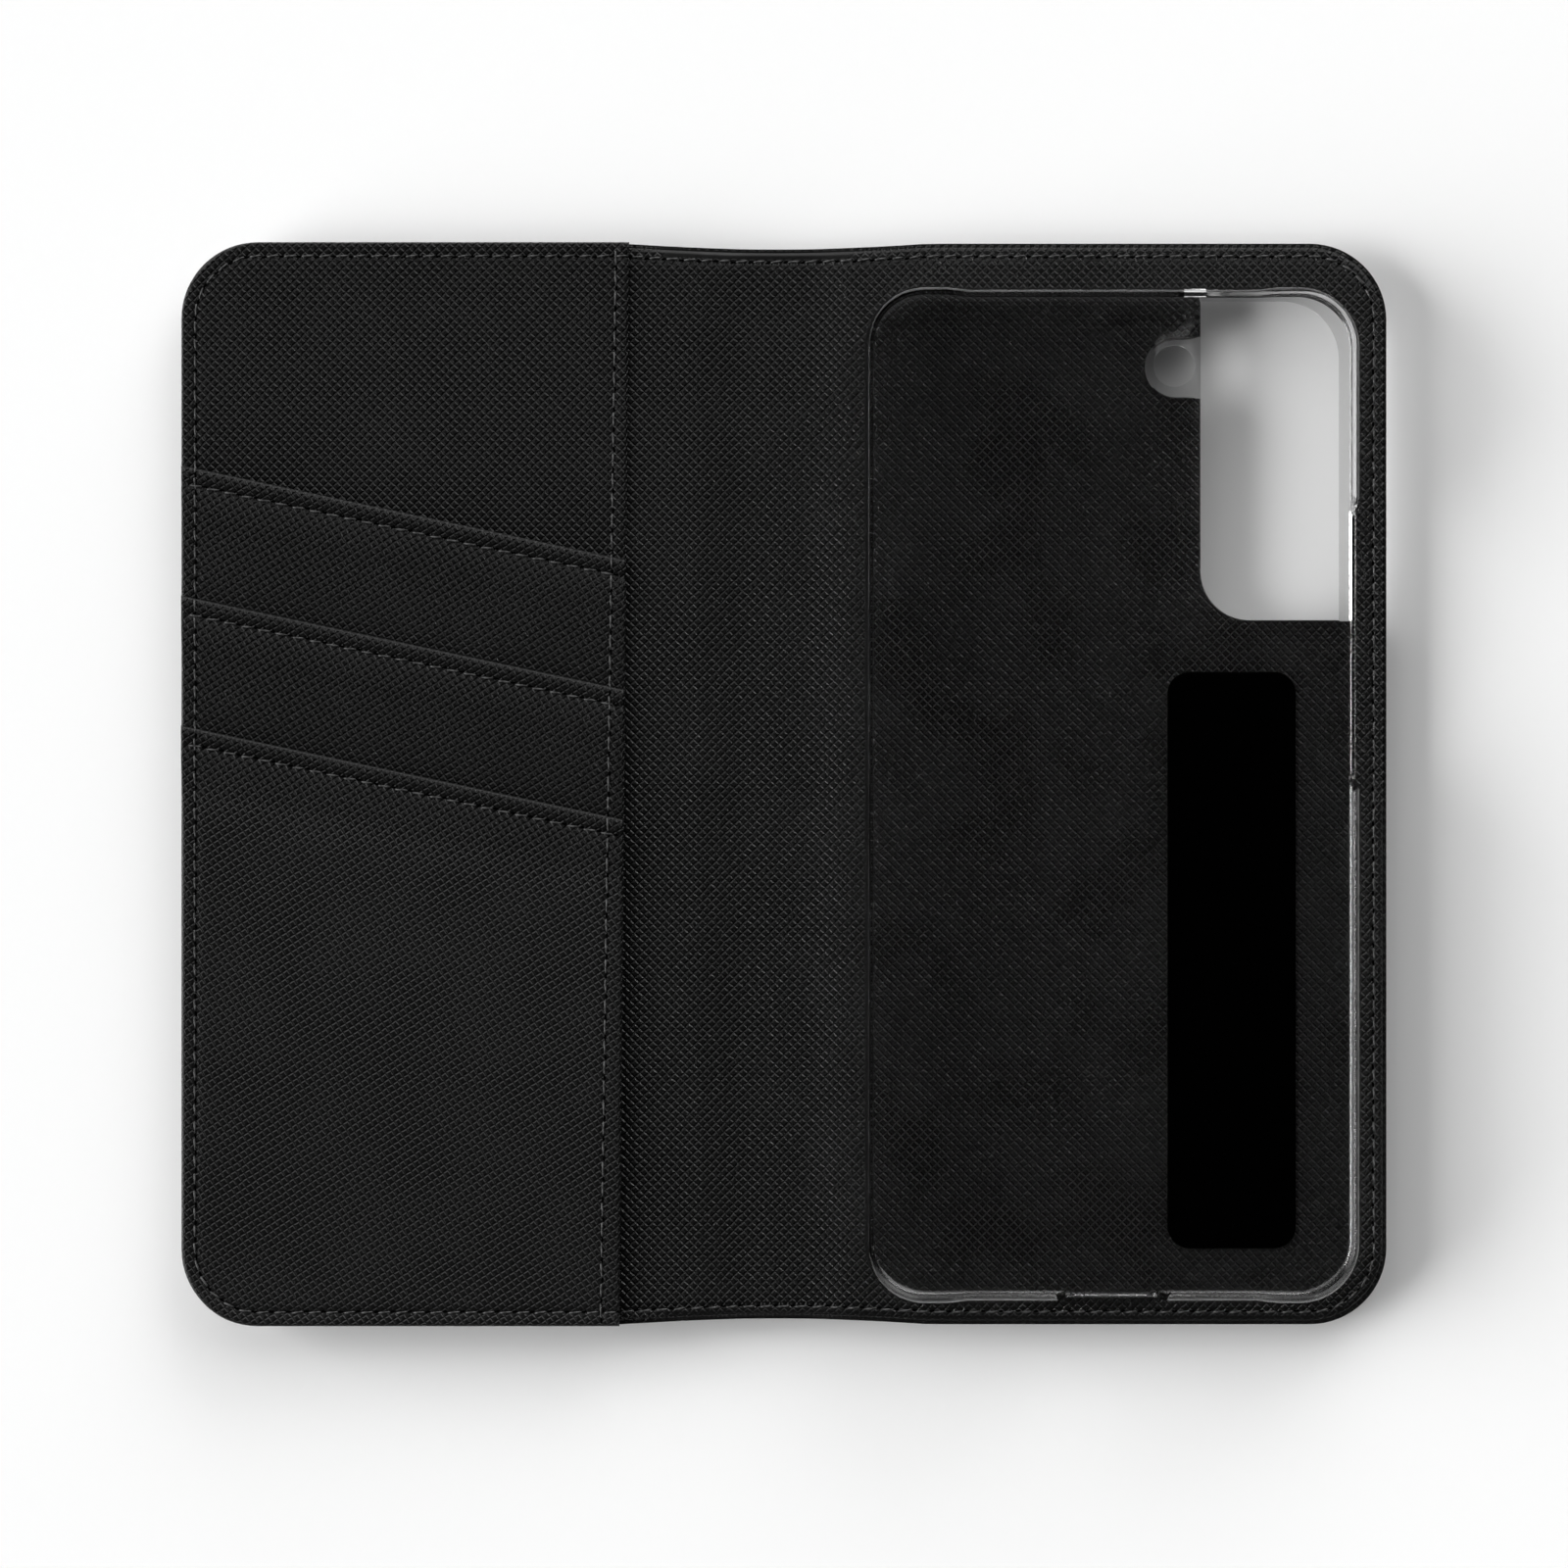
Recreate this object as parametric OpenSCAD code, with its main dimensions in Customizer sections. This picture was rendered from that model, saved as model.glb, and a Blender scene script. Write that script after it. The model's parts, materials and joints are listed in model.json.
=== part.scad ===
// Phone wallet case, lying open and flat with its lining upwards.
// X runs across the open case: pockets on the left, soft spine, phone tray on the right.
// Y runs up the phone, and Z up from the surface that the case lies on. Millimetres.
// The origin is the middle of the open case, on that surface.

/* [Phone] */
// Width of the phone that the tray holds
phone_w = 70.6; // [69:0.1:71.4]
// Length of the phone
phone_l = 146; // [143:0.1:147]
// Thickness of the phone
phone_t = 7.6; // [7:0.1:8.4]
// Radius of the phone's corners
phone_r = 8; // [7:0.5:10]

/* [Open case] */
// Width of the open case, both covers and the spine
case_w = 176.6; // [176:0.1:182]
// Height of the open case
case_h = 158.8; // [156:0.1:164]
// Radius of the four outer corners
case_r = 11.2; // [9:0.1:14]
// Width of the soft spine between its two folds
spine_w = 21; // [19:0.5:22]
// Width of the front cover, from its free edge to its fold
front_w = 76.7; // [75.5:0.1:77.5]
// How far the soft spine is drawn in at the top and at the bottom
waist = 0.8; // [0.2:0.1:1.5]
// Length of the drawn-in stretch
waist_w = 44; // [36:1:48]

/* [Layers] */
// Thickness of the outer skin
skin_t = 0.7; // [0.5:0.1:1]
// Thickness of the stiff boards
board_t = 1; // [0.8:0.1:1.6]
// Thickness of the lining
lining_t = 0.5; // [0.4:0.1:0.8]
// Thickness of the bill pocket's panel
panel_t = 0.5; // [0.4:0.1:0.8]
// Thickness of each card facing, and of the liner below it
facing_t = 0.4; // [0.3:0.1:0.6]
// Thickness of the sewing thread above the leather
thread_t = 0.3; // [0.2:0.05:0.4]
// Width of the sewing thread
thread_w = 0.45; // [0.3:0.05:0.6]
// Distance of the edge seam from the edge
seam_inset = 1.6; // [1.2:0.1:2.2]

/* [Pockets] */
// Width of the bill pocket's panel at its top edge
panel_top_w = 65.6; // [60:0.1:66.5]
// Width of the bill pocket's panel at its bottom edge
panel_bottom_w = 64.2; // [60:0.1:66.5]
// Slope of the card slots, down towards the spine
slot_tilt = 12; // [0:1:15]
// Height of the first slot at the free edge, above the middle of the case
slot_start = 46.7; // [40:0.1:52]
// Distance from one card slot to the next
slot_pitch = 19.05; // [16:0.05:22]
// How far each facing runs on behind the next one
slot_overlap = 6; // [4:0.5:10]
// Distance of each slot's seam below its folded edge
slot_seam = 2.4; // [1.5:0.1:3.5]

/* [Phone tray] */
// Thickness of the tray's walls
wall = 0.8; // [0.8:0.1:1]
// Play between the phone and each wall
play = 0.02; // [0.02:0.01:0.1]
// Thickness of the tray's floor
tray_floor = 0.9; // [0.8:0.1:1.2]
// How far the rim leans in over the phone
rim_lip = 0.5; // [0.3:0.1:0.7]
// Height of the leaning rim
rim_h = 0.8; // [0.6:0.1:1.2]
// Distance from the tray to the case's free edge
tray_margin = 4.3; // [4:0.1:6]
// Distance of the tray's middle below the middle of the case
tray_drop = 1.58; // [0:0.01:3]
// Width of the charging port's gap
port_w = 13.2; // [11:0.1:16]
// Length of the side buttons' gap
button_gap = 39.5; // [34:0.5:44]

/* [Camera] */
// Width of the tray's camera opening
camera_w = 20.3; // [16:0.1:21]
// Height of the tray's camera opening
camera_h = 46.7; // [40:0.1:50]
// Radius of the flash hole in the tray
flash_r = 3.05; // [2.6:0.05:3.4]

/* [Hidden] */
$fn = 64;

// Plan of the covers
pocket_proud = 0.2;                          // pocket edges stand out past the cover
half_w = case_w / 2;
half_h = case_h / 2 - pocket_proud;
free_edge = half_w - pocket_proud;
waist_r = (waist_w * waist_w / 4 + waist * waist) / (2 * waist);
front_fold = -half_w + front_w;
back_fold = front_fold + spine_w;
spine_mid = (front_fold + back_fold) / 2;
fold_gap = 1;                                // skin and lining stop this far from a fold
board_gap = 1.8;                             // boards stop this far from a fold
turned_edge = 1.3;                           // width of the skin turned up round a board
stand_groove = 1.2;                          // gap between the two back boards
stand_fold = 43.2;                           // place of that gap
far = 2 * case_w;                            // longer than any piece

// Heights of the layers
board_z = skin_t;
lining_z = board_z + board_t;
panel_z = lining_z + lining_t;
facing_z = panel_z + panel_t;
pad_t = 0.3;
tray_z = panel_z + pad_t;
seat_z = tray_z + tray_floor;
tray_h = tray_floor + phone_t + rim_h;

// Plan of the tray
tray_w = phone_w + 2 * (wall + play);
tray_l = phone_l + 2 * (wall + play);
tray_r = phone_r + wall;
tray_right = half_w - tray_margin;
tray_x = tray_right - tray_w / 2;
tray_y = -tray_drop;
tray_top = tray_y + tray_l / 2;

// Camera opening in the tray, and the larger one in the cover below it
camera_right = tray_right - 2.7;
camera_left = camera_right - camera_w;
camera_top = tray_top - 1.55;
camera_bottom = camera_top - camera_h;
camera_r = 7.2;                              // its lower corner next to the phone's middle
flash_x = camera_left - 3.85;
flash_y = camera_top - 9.5;
flash_cut_r = 4.57;                          // half-slot in the cover round the flash hole
cut_play = 0.15;                             // the cover's hole starts this far from the tray's

// Adhesive pad under the tray
pad_w = 18.8;
pad_l = 84.4;
pad_x = tray_right - 18.4;
pad_y = -25.8;
pad_r = 3.2;

// Side openings of the tray
button_y = 20.45;
mic_x = 60;
mic_w = 3.2;
mic_h = 1.6;

// ---- Plans shared by several pieces ----

// A rectangle between two x and two y values, with corners of radius r
module rounded_box(x0, x1, y0, y1, r) {
  translate([x0 + r, y0]) square([x1 - x0 - 2 * r, y1 - y0]);
  translate([x0, y0 + r]) square([x1 - x0, y1 - y0 - 2 * r]);
  for (x = [x0 + r, x1 - r], y = [y0 + r, y1 - r]) translate([x, y]) circle(r);
}

// Everything between two x values
module strip(x0, x1) {
  translate([x0, -far]) square([x1 - x0, 2 * far]);
}

// The open case in plan, drawn in at the spine, inset from its edge
module case_plan(inset = 0) {
  difference() {
    rounded_box(-free_edge + inset, half_w - inset, -half_h + inset, half_h - inset,
      case_r - inset);
    for (side = [-1, 1])
      translate([spine_mid, side * (half_h - waist + waist_r)]) circle(waist_r + inset, $fn = 360);
  }
}

// The pocket side of the case in plan, without the cover's inset, left of the pocket's mouth
module pocket_plan() {
  mouth_top = -half_w + panel_top_w;
  mouth_bottom = -half_w + panel_bottom_w;
  intersection() {
    rounded_box(-half_w, half_w, -case_h / 2, case_h / 2, case_r);
    polygon([[-far, -case_h / 2], [mouth_bottom, -case_h / 2], [mouth_top, case_h / 2],
      [-far, case_h / 2]]);
  }
}

// Height of card slot k at x, moved down by drop
function slot_y(k, x, drop = 0) =
  slot_start - (k - 1) * slot_pitch - (x + half_w) * tan(slot_tilt) - drop;

// Everything below the folded edge of card slot k, moved down by drop
module below_slot(k, drop = 0) {
  polygon([[-half_w - 1, slot_y(k, -half_w - 1, drop)], [0, slot_y(k, 0, drop)], [0, -far],
    [-half_w - 1, -far]]);
}

// What a part of the pocket side shows of layer k: 0 is the panel, 1 to 3 are the facings
module layer_zone(k) {
  difference() {
    if (k == 0) strip(-far, 0); else below_slot(k);
    if (k < 3) below_slot(k + 1);
  }
}

function layer_top(k) = facing_z + k * facing_t;

// A wall that stands on the plan of its children
module slab(z, t) {
  translate([0, 0, z]) linear_extrude(t) children();
}

// The line of the edge seam in plan
module edge_seam() {
  difference() {
    case_plan(seam_inset);
    case_plan(seam_inset + thread_w);
  }
}

// The hole through the back cover: the camera's opening and the half-slot round the flash
module camera_cut() {
  x0 = camera_left - cut_play;
  y0 = camera_bottom - cut_play;
  difference() {
    intersection() {
      translate([x0, y0]) square([far, far]);
      tray_plan(2 * cut_play);
    }
    corner_waste(x0, y0, camera_r);
  }
  translate([flash_x + 2 * cut_play, flash_y - cut_play]) {
    circle(flash_cut_r);
    translate([0, -flash_cut_r]) square([camera_left - flash_x + 1, 2 * flash_cut_r]);
  }
}

// What a radius r leaves over at a square corner that opens up and to the right
module corner_waste(x, y, r) {
  difference() {
    translate([x - 1, y - 1]) square(r + 1);
    translate([x + r, y + r]) circle(r);
  }
}

// The tray in plan, inset from its outside
module tray_plan(inset = 0) {
  rounded_box(tray_x - tray_w / 2 + inset, tray_right - inset, tray_y - tray_l / 2 + inset,
    tray_top - inset, tray_r - inset);
}

// ---- Covers ----

// Outer skin of a cover between two x values, with its edge turned up round the board
module cover_skin(x0, x1) {
  slab(0, skin_t) intersection() {
    case_plan();
    strip(x0, x1);
  }
  slab(board_z, board_t) difference() {
    intersection() {
      case_plan();
      strip(x0, x1);
    }
    case_plan(turned_edge);
  }
}

module back_outer_skin() {
  color("#232326") difference() {
    cover_skin(back_fold + fold_gap, half_w);
    slab(-1, far) camera_cut();
  }
}

module back_board(x0, x1) {
  color("#6b6259") slab(board_z, board_t) difference() {
    intersection() {
      case_plan(turned_edge);
      strip(x0, x1);
    }
    camera_cut();
  }
}

module back_inner_board() {
  back_board(back_fold + board_gap, stand_fold - stand_groove / 2);
}

module back_outer_board() {
  back_board(stand_fold + stand_groove / 2, half_w);
}

module back_lining() {
  color("#1c1c1e") slab(lining_z, lining_t) difference() {
    intersection() {
      case_plan();
      strip(back_fold + board_gap, half_w);
    }
    camera_cut();
  }
}

module front_outer_skin() {
  color("#232326") cover_skin(-half_w, front_fold - fold_gap);
}

module front_board() {
  color("#6b6259") slab(board_z, board_t) intersection() {
    case_plan(turned_edge);
    strip(-half_w, front_fold - board_gap);
  }
}

module front_lining() {
  color("#1c1c1e") slab(lining_z, lining_t) intersection() {
    case_plan();
    strip(-half_w, front_fold - board_gap);
  }
}

// ---- Spine ----

module spine_plan() {
  intersection() {
    case_plan();
    strip(front_fold + fold_gap, back_fold - fold_gap);
  }
}

module spine_outer_skin() {
  color("#232326") slab(0, skin_t) spine_plan();
}

module spine_lining() {
  color("#1c1c1e") slab(skin_t, lining_t) spine_plan();
}

// ---- Pockets on the front cover ----

module bill_pocket_panel() {
  color("#202022") slab(panel_z, panel_t) pocket_plan();
}

// A leather facing with its folded edge at slot k, ending behind the next one
module card_facing(k) {
  color("#262628") slab(facing_z + (k - 1) * facing_t, facing_t) difference() {
    intersection() {
      pocket_plan();
      below_slot(k);
    }
    if (k < 3) below_slot(k + 1, slot_overlap);
  }
}

// The thin fabric that carries on below facing k, down to the bottom seam
module card_liner(k) {
  color("#3a3a3c") slab(facing_z + (k - 1) * facing_t, facing_t) intersection() {
    pocket_plan();
    below_slot(k + 1, slot_overlap);
  }
}

// ---- Phone tray and its pad ----

module adhesive_pad() {
  color("#050505") slab(panel_z, pad_t)
    rounded_box(pad_x - pad_w / 2, pad_x + pad_w / 2, pad_y - pad_l / 2, pad_y + pad_l / 2, pad_r);
}

// Camera opening through the tray's floor, with one large lower corner and one large upper one
module tray_camera_opening() {
  upper_r = tray_r - 0.4;
  difference() {
    translate([camera_left, camera_bottom]) square([camera_w, camera_h]);
    corner_waste(camera_left, camera_bottom, camera_r);
    translate([camera_right, camera_top]) rotate(180) corner_waste(0, 0, upper_r);
  }
}

// Gap in a wall that opens at the rim, with sloping ends; drawn looking along the wall
module wall_gap(length, sill) {
  slope = 1.4;
  top = tray_z + tray_h + 1;
  polygon([[-length / 2, sill], [length / 2, sill], [length / 2 + slope, top],
    [-length / 2 - slope, top]]);
}

module phone_tray() {
  cut = 4;                                   // length of a cut through one wall
  color("#d8dde0", 0.35) difference() {
    slab(tray_z, tray_h) tray_plan();
    slab(seat_z, phone_t) tray_plan(wall);
    slab(seat_z + phone_t - 0.1, rim_h + 1) tray_plan(wall + rim_lip);
    slab(tray_z - 1, tray_floor + 2) tray_camera_opening();
    translate([flash_x, flash_y, tray_z - 1]) cylinder(h = tray_floor + 2, r = flash_r);
    translate([tray_x, tray_y - tray_l / 2 + cut / 2, 0]) rotate([90, 0, 0])
      linear_extrude(cut) wall_gap(port_w, seat_z + 1.2);
    translate([tray_right - cut / 2, button_y, 0]) rotate([90, 0, 90])
      linear_extrude(cut) wall_gap(button_gap, seat_z + 1.6);
    translate([mic_x, tray_top + 1, seat_z + phone_t / 2]) rotate([90, 0, 0])
      linear_extrude(cut) rounded_box(-mic_w / 2, mic_w / 2, -mic_h / 2, mic_h / 2, 0.79);
  }
}

// ---- Sewing threads ----

module back_edge_thread() {
  color("#0c0c0c") slab(panel_z, thread_t) intersection() {
    edge_seam();
    strip(back_fold + board_gap, half_w);
  }
}

module spine_edge_thread() {
  color("#0c0c0c") slab(skin_t + lining_t, thread_t) intersection() {
    edge_seam();
    strip(front_fold + fold_gap, back_fold - fold_gap);
  }
}

// The edge seam lies on the lining next to the spine, and on each pocket layer in turn
module front_edge_thread() {
  color("#0c0c0c") {
    slab(panel_z, thread_t) difference() {
      intersection() {
        edge_seam();
        strip(-half_w, front_fold - board_gap);
      }
      pocket_plan();
    }
    for (k = [0:3]) slab(layer_top(k), thread_t) intersection() {
      edge_seam();
      pocket_plan();
      layer_zone(k);
    }
  }
}

// The hem seam runs beside the bill pocket's mouth, through every layer
module pocket_hem_thread() {
  top_x = -half_w + panel_top_w - 2;
  bottom_x = -half_w + panel_bottom_w - 2.9;
  end_y = half_h - seam_inset - 1;
  color("#0c0c0c") for (k = [0:3]) slab(layer_top(k), thread_t) intersection() {
    polygon([[bottom_x, -end_y], [bottom_x + thread_w, -end_y], [top_x + thread_w, end_y],
      [top_x, end_y]]);
    layer_zone(k);
  }
}

// The seam along the folded edge of slot k, between the edge seam and the hem seam
module slot_thread(k) {
  x0 = -free_edge + seam_inset + 1.5;
  x1 = -half_w + panel_bottom_w - 4.5;
  color("#0c0c0c") slab(layer_top(k), thread_t) intersection() {
    difference() {
      below_slot(k, slot_seam);
      below_slot(k, slot_seam + thread_w);
    }
    strip(x0, x1);
  }
}

back_outer_skin();
back_inner_board();
back_outer_board();
back_lining();
back_edge_thread();
adhesive_pad();
phone_tray();
spine_outer_skin();
spine_lining();
spine_edge_thread();
front_outer_skin();
front_board();
front_lining();
bill_pocket_panel();
card_facing(1);  // card_facing_1
card_facing(2);  // card_facing_2
card_facing(3);  // card_facing_3
card_liner(1);  // card_liner_1
card_liner(2);  // card_liner_2
front_edge_thread();
pocket_hem_thread();
slot_thread(1);  // slot_thread_1
slot_thread(2);  // slot_thread_2
slot_thread(3);  // slot_thread_3
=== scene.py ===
# Phone wallet case, lying open on a table: a front cover with a bill pocket and three card
# slots, a soft spine, and a back cover with a clear tray for the phone. Lengths are in metres.
import json
import math

import bpy
import numpy as np
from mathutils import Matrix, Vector


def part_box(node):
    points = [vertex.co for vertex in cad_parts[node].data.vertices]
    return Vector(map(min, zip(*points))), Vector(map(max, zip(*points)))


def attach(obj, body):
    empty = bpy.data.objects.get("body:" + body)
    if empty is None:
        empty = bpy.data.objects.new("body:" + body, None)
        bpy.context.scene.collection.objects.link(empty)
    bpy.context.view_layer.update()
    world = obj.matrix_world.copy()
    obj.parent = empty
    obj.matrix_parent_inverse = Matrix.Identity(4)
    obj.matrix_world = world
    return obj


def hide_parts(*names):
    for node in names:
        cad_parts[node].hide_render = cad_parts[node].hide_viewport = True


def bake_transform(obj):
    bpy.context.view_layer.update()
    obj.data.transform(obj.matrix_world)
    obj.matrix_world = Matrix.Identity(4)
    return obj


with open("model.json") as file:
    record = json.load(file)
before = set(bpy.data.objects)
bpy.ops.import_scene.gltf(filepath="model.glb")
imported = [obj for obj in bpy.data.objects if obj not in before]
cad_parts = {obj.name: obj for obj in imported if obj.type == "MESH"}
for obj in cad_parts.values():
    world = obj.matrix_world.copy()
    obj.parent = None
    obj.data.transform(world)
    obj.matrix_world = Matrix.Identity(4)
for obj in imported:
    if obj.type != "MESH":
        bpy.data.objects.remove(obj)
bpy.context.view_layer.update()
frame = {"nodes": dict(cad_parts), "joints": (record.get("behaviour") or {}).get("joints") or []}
MM = 0.001

# ---------------------------------------------------------------------------------------------
# Outer skin
# One sheet of cross-grained faux leather goes round the outside of both covers and the spine.
# It is turned up round the boards at the edges, and creased along the two folds of the spine.
skin_low, skin_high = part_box("front_outer_skin")[0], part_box("back_outer_skin")[1]
board_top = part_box("front_board")[1].z
skin_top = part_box("front_board")[0].z
board_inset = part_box("front_board")[0].x - skin_low.x
case_mid = (skin_low.x + skin_high.x) / 2
fold_x = {joint["name"]: joint["pos_m"][0] for joint in frame["joints"]}
back_fold, front_fold = fold_x["back_fold"], fold_x["front_fold"]
spine_mid = (back_fold + front_fold) / 2
corner_r = 11.2 * MM
waist_depth = skin_high.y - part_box("spine_outer_skin")[1].y + 0.15 * MM
waist_half = 22 * MM
board_gap = front_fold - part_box("front_board")[1].x
drop_width = 8.5 * MM
seam_inset = 1.82 * MM
folded_edge_r = 0.55 * MM
glue_gap = 0.02 * MM


def smooth(low, high, value):
    """0 below low, 1 above high, and a soft step between them."""
    t = np.clip((value - low) / (high - low), 0, 1)
    return t * t * (3 - 2 * t)


def groove(distance, place, width, depth):
    """A soft groove of that width and depth, where distance equals place."""
    return depth * np.exp(-(((distance - place) / (width / 2)) ** 2))


def rounding(distance, radius):
    """How far a rounded edge lies below the flat, at a distance from the edge."""
    t = 1 - np.clip(distance / radius, 0, 1)
    return radius * (1 - np.sqrt(1 - t * t))


def waist(x):
    """How far the outline is drawn in at x, where the spine has no board to hold it out."""
    return waist_depth * np.clip(1 - ((x - spine_mid) / waist_half) ** 2, 0, 1)


def edge_distance(x, y):
    """How far a point lies inside the outline of the open case."""
    out_x = np.abs(x - case_mid) - (skin_high.x - case_mid) + corner_r
    out_y = np.abs(y) - (skin_high.y - waist(x)) + corner_r
    past_corner = np.hypot(np.maximum(out_x, 0), np.maximum(out_y, 0))
    return corner_r - past_corner - np.minimum(np.maximum(out_x, out_y), 0)


def on_board(x):
    """1 over the boards, 0 over the soft spine, and a soft step down beside each board."""
    front_edge, back_edge = front_fold - board_gap, back_fold + board_gap
    front = 1 - smooth(front_edge, front_edge + drop_width, x)
    return front + smooth(back_edge - drop_width, back_edge, x)


def skin_under(x, y):
    """The skin's outer face, which lies on the table."""
    inside = edge_distance(x, y)
    creases = sum(groove(x, fold, 1.6 * MM, 0.14 * MM) for fold in (back_fold, front_fold))
    seam = groove(inside, seam_inset, 0.7 * MM, 0.2 * MM)
    return rounding(inside, folded_edge_r) + seam + creases


def skin_over(x, y):
    """The skin's inner face, which rises round the boards where the edge is turned up."""
    turned_up = (edge_distance(x, y) < board_inset - 0.05 * MM) * on_board(x)
    return skin_top - glue_gap + turned_up * (board_top - skin_top)


def only(piece):
    """Selects one piece alone and makes it the active one."""
    bpy.ops.object.select_all(action="DESELECT")
    piece.select_set(True)
    bpy.context.view_layer.objects.active = piece


def blank(name, x0, x1, y0, y1):
    """A flat rectangle of material, before it is shaped."""
    bpy.ops.object.select_all(action="DESELECT")
    bpy.ops.mesh.primitive_plane_add(size=1, location=((x0 + x1) / 2, (y0 + y1) / 2, 0))
    piece = bpy.context.object
    piece.name = name
    piece.scale = (x1 - x0, y1 - y0, 1)
    bpy.ops.object.transform_apply(location=True, rotation=True, scale=True)
    return piece


def pick(piece, vertices=(), edges=(), faces=()):
    """Selects only these vertices, edges or faces of a piece, by their numbers."""
    mesh = piece.data
    for parts, wanted in ((mesh.vertices, vertices), (mesh.edges, edges), (mesh.polygons, faces)):
        chosen = np.zeros(len(parts), bool)
        chosen[list(wanted)] = True
        parts.foreach_set("select", chosen)


def four_corners(low, high):
    """The corners, in plan, of a box between two points."""
    return [(x, y) for x in (low.x, high.x) for y in (low.y, high.y)]


def round_corners(piece, corners, radius, segments=16):
    """Rounds the corners of a flat blank that lie nearest to the given places."""
    flat = points(piece)[:, :2]
    pick(piece, vertices=[int(np.argmin(np.hypot(*(flat - place).T))) for place in corners])
    only(piece)
    bpy.ops.object.mode_set(mode="EDIT")
    bpy.ops.mesh.select_mode(type="VERT")
    bpy.ops.mesh.bevel(offset=radius, segments=segments, affect="VERTICES", profile=0.5)
    bpy.ops.object.mode_set(mode="OBJECT")


def add_rings(piece, insets):
    """Rings a flat blank with lines at these distances inside its edge."""
    only(piece)
    bpy.ops.object.mode_set(mode="EDIT")
    bpy.ops.mesh.select_mode(type="FACE")
    bpy.ops.mesh.select_all(action="SELECT")
    for before, inset in zip([0, *insets], insets):
        bpy.ops.mesh.inset(thickness=inset - before, depth=0)
    bpy.ops.object.mode_set(mode="OBJECT")


def cut_lines(piece, places, normal=(1, 0), origin=(0, 0), trim=False):
    """Cuts a flat blank along parallel lines at these distances from origin.

    trim removes what lies past them.
    """
    only(piece)
    bpy.ops.object.mode_set(mode="EDIT")
    for place in places:
        bpy.ops.mesh.select_all(action="SELECT")
        through = (origin[0] + place * normal[0], origin[1] + place * normal[1], 0)
        bpy.ops.mesh.bisect(plane_co=through, plane_no=(*normal, 0), clear_outer=trim)
    bpy.ops.object.mode_set(mode="OBJECT")


def points(piece):
    """The places of a piece's vertices."""
    co = np.empty(len(piece.data.vertices) * 3)
    piece.data.vertices.foreach_get("co", co)
    return co.reshape(-1, 3)


def place_points(piece, co):
    """Moves a piece's vertices to these places."""
    piece.data.vertices.foreach_set("co", co.astype(np.float32).ravel())
    piece.data.update()


def face_outwards(piece, sharp=50):
    """Points every face outwards and shades the piece smooth up to an angle."""
    only(piece)
    bpy.ops.object.mode_set(mode="EDIT")
    bpy.ops.mesh.select_all(action="SELECT")
    bpy.ops.mesh.normals_make_consistent(inside=False)
    bpy.ops.object.mode_set(mode="OBJECT")
    bpy.ops.object.shade_smooth_by_angle(angle=math.radians(sharp))


def thicken(piece, under, over):
    """Gives a flat blank its thickness: under(x, y) and over(x, y) are its faces' heights."""
    only(piece)
    bpy.ops.object.mode_set(mode="EDIT")
    bpy.ops.mesh.select_all(action="SELECT")
    bpy.ops.mesh.extrude_region_move(TRANSFORM_OT_translate={"value": (0, 0, MM)})
    bpy.ops.object.mode_set(mode="OBJECT")
    co = points(piece)
    x, y = co[:, 0], co[:, 1]
    co[:, 2] = np.where(co[:, 2] > MM / 2, over(x, y), under(x, y))
    place_points(piece, co)
    face_outwards(piece)


def lay_grain(piece, turn=0.0):
    """Lays the grain on a piece in metres, turned by an angle, and carries it on down the sides."""
    co = points(piece)
    normals = np.empty(len(co) * 3)
    piece.data.vertices.foreach_get("normal", normals)
    normals = normals.reshape(-1, 3)
    below_top = co[:, 2].max() - co[:, 2]
    u = co[:, 0] + normals[:, 0] * below_top
    v = co[:, 1] + normals[:, 1] * below_top
    c, s = math.cos(turn), math.sin(turn)
    laid = np.stack([u * c + v * s, v * c - u * s], axis=1)
    corners = np.empty(len(piece.data.loops), int)
    piece.data.loops.foreach_get("vertex_index", corners)
    layer = piece.data.uv_layers.new(name="grain")
    layer.data.foreach_set("uv", laid[corners].astype(np.float32).ravel())


def block(name, x0, x1, y0, y1, z0, z1, rounded=()):
    """An upright block for cutting. rounded holds the (corner, radius) pairs to round."""
    piece = blank(name, x0, x1, y0, y1)
    for corner, radius in rounded:
        round_corners(piece, [corner], radius)
    thicken(piece, lambda x, y: z0 + 0 * x, lambda x, y: z1 + 0 * x)
    return piece


def carve(piece, cutter):
    """Takes the cutter's shape out of a piece."""
    only(piece)
    cutting = piece.modifiers.new("carve", "BOOLEAN")
    cutting.object = cutter
    cutting.operation = "DIFFERENCE"
    cutting.solver = "EXACT"
    bpy.ops.object.modifier_apply(modifier=cutting.name)
    bpy.data.objects.remove(cutter)


# The hole in the back cover: a tall opening under the tray's camera opening, which keeps inside
# the tray's rounded corner, and a half slot beside it round the hole for the flash.
tray_low, tray_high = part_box("phone_tray")
tray_r = 8.8 * MM
camera_right, camera_top = tray_high.x - 2.7 * MM, tray_high.y - 1.55 * MM
camera_left, camera_bottom = camera_right - 20.3 * MM, camera_top - 46.7 * MM
camera_r = 7.2 * MM
flash_x, flash_y = camera_left - 3.85 * MM, camera_top - 9.5 * MM
flash_slot_r = 4.57 * MM
cut_play = 0.15 * MM
cut_low, cut_high = -5 * MM, 9 * MM


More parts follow.
